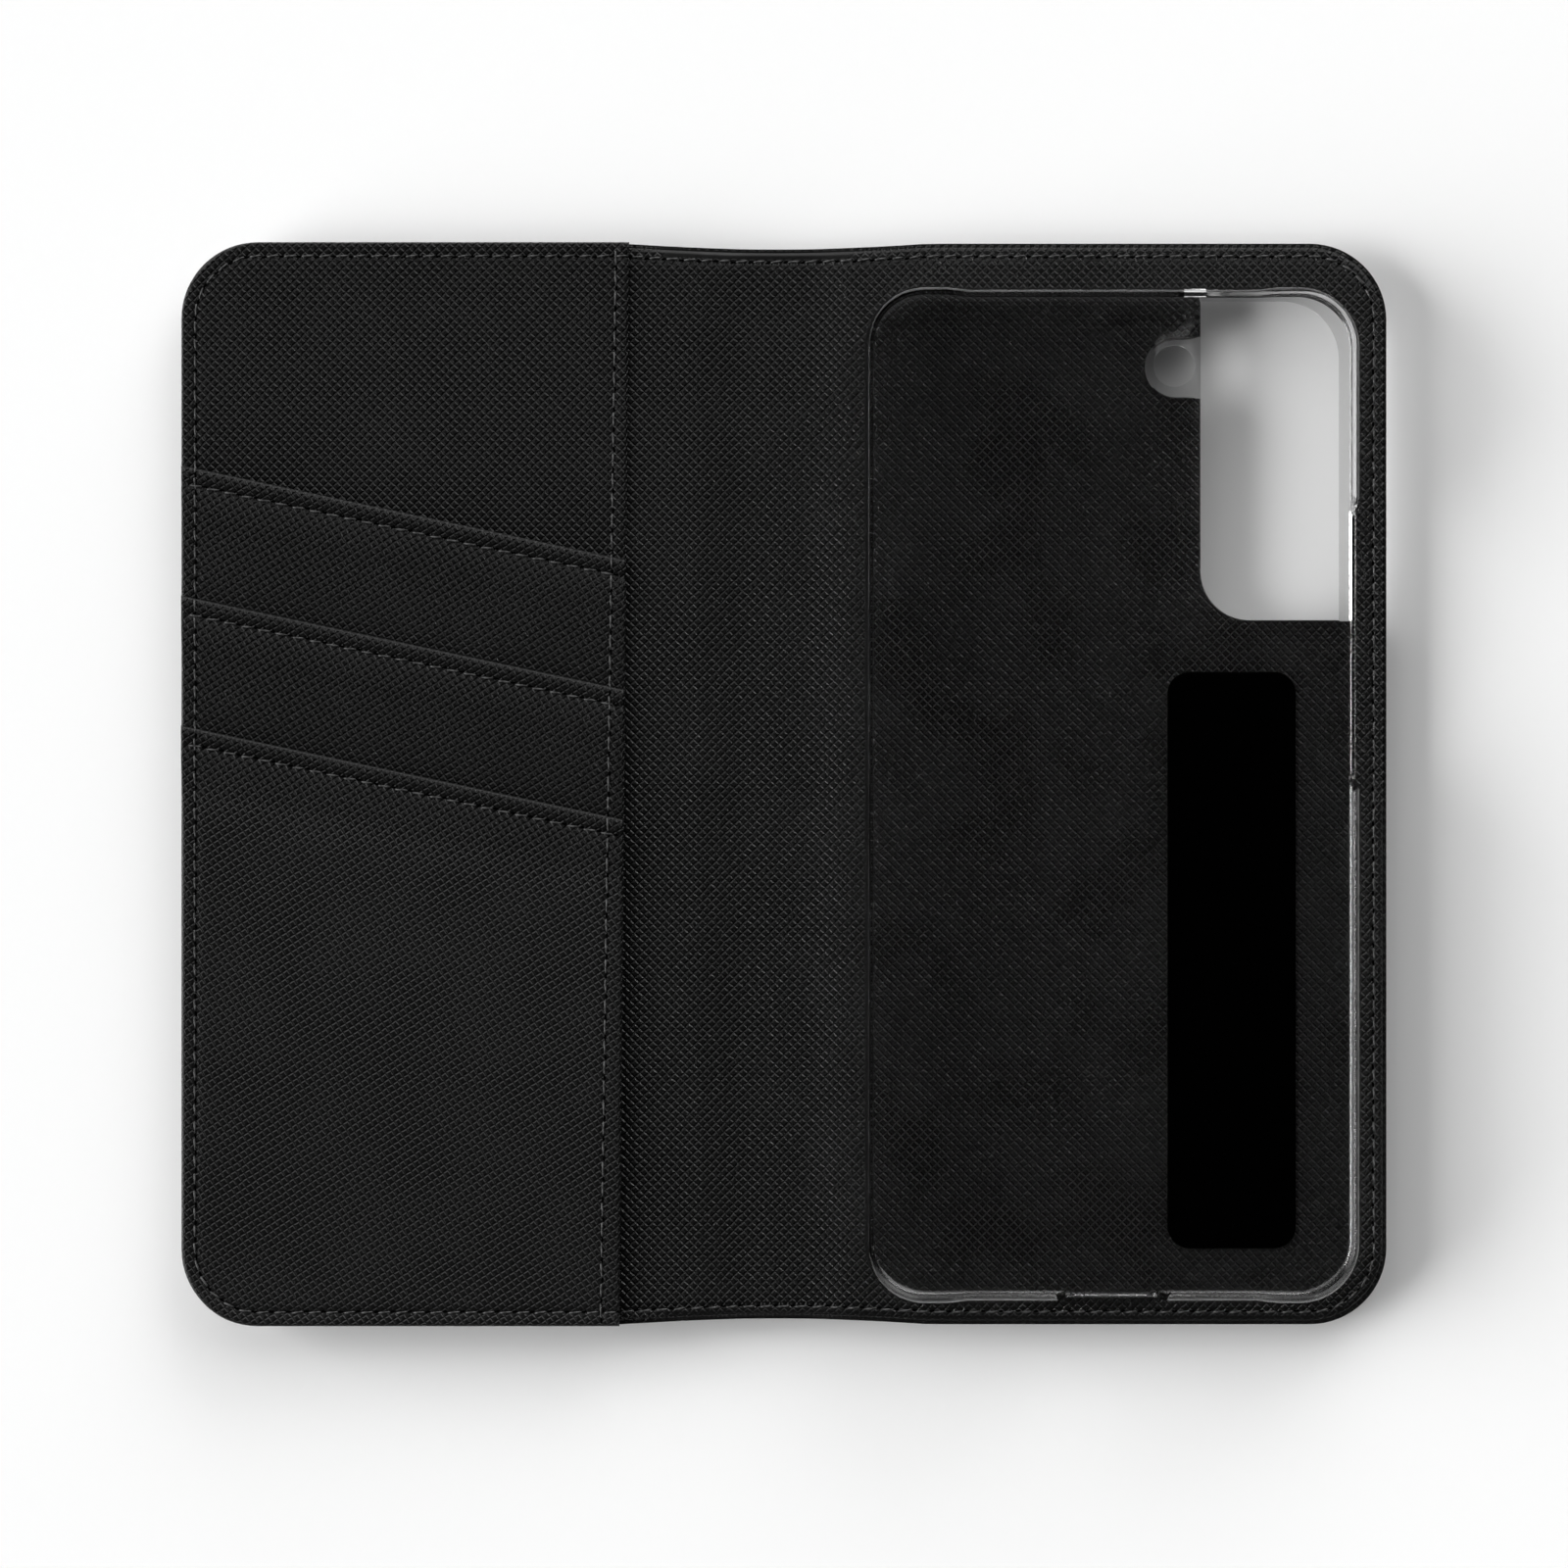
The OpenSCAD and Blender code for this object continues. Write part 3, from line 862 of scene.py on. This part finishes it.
def seam_path(corners, pitch, closed=False):
    """Stitch middles and directions, a pitch apart, along a line of points."""
    line = np.array(corners)
    if closed:
        line = np.vstack([line, line[:1]])
    steps = np.hypot(*np.diff(line, axis=0).T)
    along = np.concatenate([[0], np.cumsum(steps)])
    count = max(1, round(along[-1] / pitch))
    at = (np.arange(count) + 0.5) * along[-1] / count

    def on_line(distance):
        return np.stack([np.interp(distance, along, line[:, i]) for i in (0, 1)], 1)

    return on_line(at), on_line(at + pitch / 2) - on_line(at - pitch / 2)


def sew(name, corners, pitch, height, askew=0.1, closed=False, keep=None):
    """Copies the stitch and its black bead of painted hole shade along a line. height(x, y) is the
    leather's upper face.
    """
    middles, ways = seam_path(corners, pitch, closed)
    if keep is not None:
        wanted = keep(middles)
        middles, ways = middles[wanted], ways[wanted]
    base = points(stitch_form)
    mouth = points(hole_shade_form) * hole_half
    dive = np.abs(base[:, 0] * 2) ** 3
    copies = []
    for number, (middle, way) in enumerate(zip(middles, ways)):
        swing = askew + 0.04 * math.sin(number * 2.3)
        length = pitch * (0.8 + 0.04 * math.sin(number * 1.7))
        way = way / np.hypot(*way)
        way = np.array([way[0] * math.cos(swing) - way[1] * math.sin(swing),
                        way[0] * math.sin(swing) + way[1] * math.cos(swing)])
        side = np.array([-way[1], way[0]])
        thin = thread_r * (1 - 0.35 * dive)
        flat = middle + base[:, :1] * length * way + (base[:, 1] * thin)[:, None] * side
        top = height(*(middle + base[:, :1] * length * way).T)
        z = top + thread_r * (0.75 - 2.1 * dive) + base[:, 2] * thin
        gap = middle + 0.5 * pitch * way + mouth[:, :1] * way + mouth[:, 1:2] * side
        hole_z = height(*gap.T) + mouth[:, 2]
        for form, place in ((stitch_form, (flat, z)), (hole_shade_form, (gap, hole_z))):
            copy = bpy.data.objects.new(name, form.data.copy())
            bpy.context.scene.collection.objects.link(copy)
            place_points(copy, np.column_stack(place))
            copies.append(copy)
    bpy.ops.object.select_all(action="DESELECT")
    for copy in copies:
        copy.select_set(True)
    bpy.context.view_layer.objects.active = copies[0]
    bpy.ops.object.join()
    seam = bpy.context.object
    seam.name = name
    return seam


def edge_line(inset):
    """The edge seam's line round the case: straight sides, round corners and the drawn-in waist."""
    line = []
    for sign_x, sign_y, start in ((1, 1, 0), (-1, 1, 90), (-1, -1, 180), (1, -1, 270)):
        cx = case_mid + sign_x * (skin_high.x - case_mid - corner_r)
        cy = sign_y * (skin_high.y - corner_r)
        for angle in np.radians(np.linspace(start, start + 90, 13)):
            out_x, out_y = math.cos(angle), math.sin(angle)
            line.append((cx + (corner_r - inset) * out_x, cy + (corner_r - inset) * out_y))
        if start in (0, 180):
            for x in np.linspace(cx, -cx + 2 * case_mid, 60)[1:-1]:
                line.append((x, sign_y * (skin_high.y - inset - waist(x))))
    return line


def case_top(x, y):
    """The uppermost leather at a point of the open case."""
    on_pocket = from_mouth(x, y) > 0
    z = np.where(on_pocket, panel_over(x, y), lining_over(x, y))
    for k in range(3):
        z = np.where(on_pocket & (below_slot(k, x, y) > 0), facing_top(k, x, y), z)
    return z


stitch_form = one_stitch()
hole_shade_form = one_needle_hole()
back_seam = sew("edge_seam_back", edge_line(seam_inset), edge_pitch, case_top, closed=True,
                keep=lambda p: p[:, 0] > spine_mid)
front_seam = sew("edge_seam_front", edge_line(seam_inset), edge_pitch, case_top, closed=True,
                 keep=lambda p: p[:, 0] <= spine_mid)
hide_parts("back_edge_thread", "spine_edge_thread")
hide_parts("front_edge_thread")
bend_at_folds(back_seam, front_seam)

hem_end = panel_high.y - 0.8 * MM
hem_line = [(mouth_origin[0] + y * math.tan(mouth_slope) - hem_place(y), y)
            for y in np.linspace(hem_end, -hem_end, 40)]
hem = sew("hem_seam", hem_line, hem_pitch, case_top, askew=0.06)
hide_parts("pocket_hem_thread")
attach(hem, "front_cover")
for k in range(3):
    slot_x = (panel_low.x + 0.9 * MM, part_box("card_facing_3")[1].x - 1.2 * MM)
    slot_line = [(x, slot_starts[k] - (x - panel_low.x) * math.tan(slot_tilt) - slot_seam) for x in slot_x]
    seam = sew(f"slot_seam_{k + 1}", slot_line, slot_stitch_pitch, lambda x, y: facing_top(k, x, y))
    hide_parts(f"slot_thread_{k + 1}")
    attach(seam, "front_cover")
bpy.data.objects.remove(stitch_form)
bpy.data.objects.remove(hole_shade_form)

# ---------------------------------------------------------------------------------------------
# Adhesive pad
# A long strip of black foam tape with rounded corners, stuck to the lining. It holds the tray.
pad_low, pad_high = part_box("adhesive_pad")
pad_r = 3.2 * MM


def make_foam():
    """Fine closed cells, too dark and matt to shine."""
    material, tree, shader = new_material("adhesive_foam")
    cells = noise(tree, on_piece(tree), 0.35 * MM, 3.0, 0.6)
    shade = mix_colour(tree, cells, (0.0004, 0.0004, 0.0004), (0.001, 0.001, 0.001))
    tree.links.new(shade, shader.inputs["Base Color"])
    tree.links.new(remap(tree, cells, 0.3, 0.7, 0.9, 1.0), shader.inputs["Roughness"])
    shader.inputs["Specular IOR Level"].default_value = 0.0
    bump(tree, cells, 0.03 * MM, shader)
    return material


pad = blank("foam_pad", pad_low.x, pad_high.x, pad_low.y, pad_high.y)
round_corners(pad, four_corners(pad_low, pad_high), pad_r, 12)
add_rings(pad, np.array([0.08, 0.2, 0.5]) * MM)
cut_lines(pad, np.arange(-64, 16, 6) * MM, normal=(0, 1))


def pad_over(x, y):
    """The pad's upper face, a glue line below the tray."""
    side = np.minimum.reduce([x - pad_low.x, pad_high.x - x, y - pad_low.y, pad_high.y - y])
    return pad_high.z - glue_gap - rounding(side, 0.15 * MM)


thicken(pad, lambda x, y: pad_low.z - 0.1 * MM + 0 * x, pad_over)
pad.data.materials.append(make_foam())
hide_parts("adhesive_pad")
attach(pad, "back_cover")

# ---------------------------------------------------------------------------------------------
# Phone tray
# Clear moulded polycarbonate. The floor turns up into thin walls with a rounded fillet, and the
# rim leans in over the phone. The walls dip for the port and the side keys.
tray_x = (tray_low.x + tray_high.x) / 2
half_wide = tray_high.x - tray_x
wall_t = 0.8 * MM
foot_inset = 1.8 * MM
sill_port, sill_keys = 4.6 * MM, 5.0 * MM
keys_y, keys_half, port_half = 20.45 * MM, 19.75 * MM, 6.6 * MM
bumper_long, bumper_proud = 12.6 * MM, 0.36 * MM
flash_hole_r = 3.05 * MM
microphone_x, microphone_z = (58.4 * MM, 61.6 * MM), (6.3 * MM, 7.9 * MM)
# The wall's outer face, as (distance inside the plan, height above the tray's underside).
wall_profile = np.array([(1.05, 0.08), (0.55, 0.36), (0.2, 0.8), (0.05, 1.4), (0, 2.4), (0, 4), (0, 5.6),
                         (0, 7.0), (0.07, 7.8), (0.2, 8.4), (0.42, 8.9), (0.62, 9.2)]) * MM
tray = blank("clear_tray", tray_low.x, tray_high.x, tray_low.y, tray_high.y)
round_corners(tray, four_corners(tray_low, tray_high), tray_r, 20)
add_rings(tray, [0.8 * MM, foot_inset, 3.2 * MM])
dip_steps = np.linspace(-1.5, 2, 8) * MM
key_lines = [keys_y + side * (keys_half + d) for side in (-1, 1) for d in dip_steps]
port_lines = [tray_x + side * (port_half + d) for side in (-1, 1) for d in dip_steps]
bumper_steps = np.array([10, 11, 12, 13.5, 15, 17]) * MM
bumper_lines = [tray_x + side * (half_wide - d) for side in (-1, 1) for d in bumper_steps]
cut_lines(tray, [*bumper_lines, *port_lines, tray_x])
cut_lines(tray, [*key_lines, *(np.array([-60, -45, -30, -15, 20, 55]) * MM)], normal=(0, 1))


def open_edges(piece):
    """The edges that only one face holds, by their numbers."""
    numbers = {edge.key: edge.index for edge in piece.data.edges}
    faces_on = np.zeros(len(numbers), int)
    for face in piece.data.polygons:
        for key in face.edge_keys:
            faces_on[numbers[key]] += 1
    return np.nonzero(faces_on == 1)[0].tolist()


# The open edge is drawn up by one step for each point of the wall's profile.
only(tray)
for _ in wall_profile:
    pick(tray, edges=open_edges(tray))
    bpy.ops.object.mode_set(mode="EDIT")
    bpy.ops.mesh.select_mode(type="EDGE")
    bpy.ops.mesh.extrude_edges_move(TRANSFORM_OT_translate={"value": (0, 0, MM)})
    bpy.ops.object.mode_set(mode="OBJECT")
co = points(tray)
step = np.round(co[:, 2] / MM).astype(int)
core_x = np.clip(co[:, 0], tray_low.x + tray_r, tray_high.x - tray_r)
core_y = np.clip(co[:, 1], tray_low.y + tray_r, tray_high.y - tray_r)
out = np.stack([co[:, 0] - core_x, co[:, 1] - core_y], 1)
reach = np.maximum(np.hypot(*out.T), 1e-9)
way = out / reach[:, None]
profile = np.vstack([[(foot_inset, 0)], wall_profile])
inset, rise = profile[step].T


def dip(place, half):
    """1 inside a dip in the wall, falling to 0 past its end in an S-curve."""
    return smooth(half + 1.6 * MM, half - 0.4 * MM, np.abs(place))


port_dip = dip(co[:, 0] - tray_x, port_half) * (way[:, 1] < -0.9)
keys_dip = dip(co[:, 1] - keys_y, keys_half) * (way[:, 0] > 0.9)
full = profile[-1, 1]
for share, sill in ((port_dip, sill_port), (keys_dip, sill_keys)):
    low = (sill - tray_low.z) / full
    rise = rise * (1 - share * (1 - low))
    inset = inset + share * 0.35 * MM * np.sqrt(np.clip(rise / (2 * MM), 0, 1))
# The top and bottom walls stand a little proud near the corners, as bumpers.
from_side = half_wide - np.abs(co[:, 0] - tray_x)
swell = bumper_proud * smooth(bumper_long + 2 * MM, bumper_long, from_side)
swell = swell * np.abs(way[:, 1]) * np.clip(rise / (2 * MM), 0, 1)
core = np.stack([core_x, core_y], 1)
on_wall = (step > 0)[:, None]
moved = np.where(on_wall, core + way * (tray_r - inset + swell)[:, None], co[:, :2])
# The plan's own edge becomes the foot of the fillet, a little way inside the walls.
foot = ((step == 0) & (reach > tray_r - foot_inset - 0.05 * MM))[:, None]
foot_reach = tray_r - foot_inset - (tray_r - reach) * 0.4
moved = np.where(foot, core + way * foot_reach[:, None], moved)
place_points(tray, np.column_stack([moved, tray_low.z + rise]))
face_outwards(tray, 180)
solid = tray.modifiers.new("wall", "SOLIDIFY")
solid.thickness = wall_t
solid.offset = -1
solid.use_even_offset = True
only(tray)
bpy.ops.object.modifier_apply(modifier=solid.name)


def carve_tray(piece):
    """The camera opening, the hole for the flash and the microphone's slot."""
    rounded = [((camera_left, camera_bottom), camera_r),
               ((camera_right, camera_top), tray_r - 0.4 * MM)]
    carve(piece, block("opening", camera_left, camera_right, camera_bottom, camera_top,
                       0, 3.6 * MM, rounded))
    bpy.ops.object.select_all(action="DESELECT")
    bpy.ops.mesh.primitive_cylinder_add(vertices=48, radius=flash_hole_r, depth=4 * MM,
                                        location=(flash_x, flash_y, 3 * MM))
    carve(piece, bpy.context.object)
    carve(piece, block("microphone", *microphone_x, tray_high.y - 3 * MM, tray_high.y + MM,
                       *microphone_z))


carve_tray(tray)
soft = tray.modifiers.new("soft_edges", "BEVEL")
soft.width = 0.14 * MM
soft.segments = 2
soft.limit_method = "ANGLE"
soft.angle_limit = math.radians(50)
only(tray)
bpy.ops.object.modifier_apply(modifier=soft.name)
face_outwards(tray, 60)


def make_clear_plastic():
    """Clear plastic with a few faint scuffs. Lamps and soft light pass straight through it."""
    material, tree, shader = new_material("clear_plastic")
    shader.inputs["Transmission Weight"].default_value = 1.0
    shader.inputs["IOR"].default_value = 1.5
    shader.inputs["Base Color"].default_value = (0.8, 0.8, 0.8, 1)
    scuffs = noise(tree, on_piece(tree), 3 * MM, 4.0, 0.6)
    tree.links.new(remap(tree, scuffs, 0.4, 0.8, 0.0, 0.02), shader.inputs["Roughness"])
    through = tree.nodes.new("ShaderNodeBsdfTransparent")
    through.inputs["Color"].default_value = (0.7, 0.7, 0.7, 1)
    path = tree.nodes.new("ShaderNodeLightPath").outputs
    for_lamps = calc(tree, "MAXIMUM", path["Is Shadow Ray"], path["Is Diffuse Ray"])
    mixed = tree.nodes.new("ShaderNodeMixShader")
    tree.links.new(for_lamps, mixed.inputs[0])
    tree.links.new(shader.outputs[0], mixed.inputs[1])
    tree.links.new(through.outputs[0], mixed.inputs[2])
    tree.links.new(mixed.outputs[0], tree.nodes["Material Output"].inputs["Surface"])
    return material


tray.data.materials.append(make_clear_plastic())
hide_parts("phone_tray")
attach(tray, "back_cover")

# ---------------------------------------------------------------------------------------------
# Table, light and camera
# A plain pale table and a camera straight above it. A wide soft light comes from the left and a
# weaker one from the far side. The glows in the sky are what the plastic and leather reflect.
floor_drop = 3.0 * MM
bpy.ops.object.select_all(action="DESELECT")
bpy.ops.mesh.primitive_plane_add(size=6, location=(0, 0, -floor_drop))
table = bpy.context.object
table.name = "table"
paint, _, shader = new_material("pale_table")
shader.inputs["Base Color"].default_value = (0.86, 0.86, 0.86, 1)
shader.inputs["Roughness"].default_value = 0.9
shader.inputs["Specular IOR Level"].default_value = 0.0
table.data.materials.append(paint)

world = bpy.data.worlds.new("studio")
bpy.context.scene.world = world
world.use_nodes = True
tree = world.node_tree
ray = tree.nodes.new("ShaderNodeTexCoord").outputs["Generated"]


def glow(direction, wide, strength):
    """A round soft glow in the sky: full at its middle, gone at wide degrees from it."""
    dot = tree.nodes.new("ShaderNodeVectorMath")
    dot.operation = "DOT_PRODUCT"
    tree.links.new(ray, dot.inputs[0])
    length = math.sqrt(sum(c * c for c in direction))
    dot.inputs[1].default_value = [c / length for c in direction]
    near = remap(tree, dot.outputs["Value"], math.cos(math.radians(wide)), 1)
    return calc(tree, "MULTIPLY", near, strength)


height = tree.nodes.new("ShaderNodeSeparateXYZ")
tree.links.new(ray, height.inputs[0])
to_left, to_far_side = (-1, -0.04, 0.12), (0.3, 1, 0.05)
light = calc(tree, "ADD", glow(to_left, 42, 2.5), glow(to_far_side, 50, 1.2))
light = calc(tree, "ADD", light, glow((0.45, 0.66, 0.6), 30, 1.8))
light = calc(tree, "ADD", light, glow((-0.45, 0.66, 0.6), 30, 1.6))
faint_fill = 0.03
light = calc(tree, "ADD", light, faint_fill)
# Straight above it is dark, where the camera hangs, so the flat faces stay black.
dark_top = remap(tree, height.outputs[2], 0.8, 0.96, 1.0, 0.0)
light = calc(tree, "MULTIPLY", light, dark_top)
# Past the table's edge the camera sees a plain pale backdrop.
seen = tree.nodes.new("ShaderNodeLightPath").outputs["Is Camera Ray"]
unseen = calc(tree, "SUBTRACT", 1.0, seen)
backdrop = calc(tree, "MULTIPLY", seen, 0.95)
light = calc(tree, "ADD", calc(tree, "MULTIPLY", light, unseen), backdrop)
tree.links.new(light, tree.nodes["Background"].inputs["Strength"])
tree.nodes["Background"].inputs["Color"].default_value = (1, 1, 1, 1)


def soft_sun(name, direction, wide, strength):
    """A broad even light that fills and shades, and doesn't glare on the leather."""
    bpy.ops.object.light_add(type="SUN")
    lamp = bpy.context.object
    lamp.name = name
    lamp.rotation_euler = Vector(direction).to_track_quat("Z", "Y").to_euler()
    lamp.data.angle = math.radians(2 * wide)
    lamp.data.energy = strength
    lamp.visible_glossy = False


soft_sun("left_softbox", to_left, 32, 9.5)
soft_sun("top_softbox", to_far_side, 28, 2.9)

seen_width = 229.8 * MM
camera_height = 1.5
sensor_width = 36
bpy.ops.object.camera_add(location=(0, 0, camera_height + lining_top), rotation=(0, 0, 0))
camera = bpy.context.object
camera.data.sensor_width = sensor_width
camera.data.lens = sensor_width * camera_height / seen_width
bpy.context.scene.camera = camera
bpy.context.scene.view_settings.view_transform = "Standard"
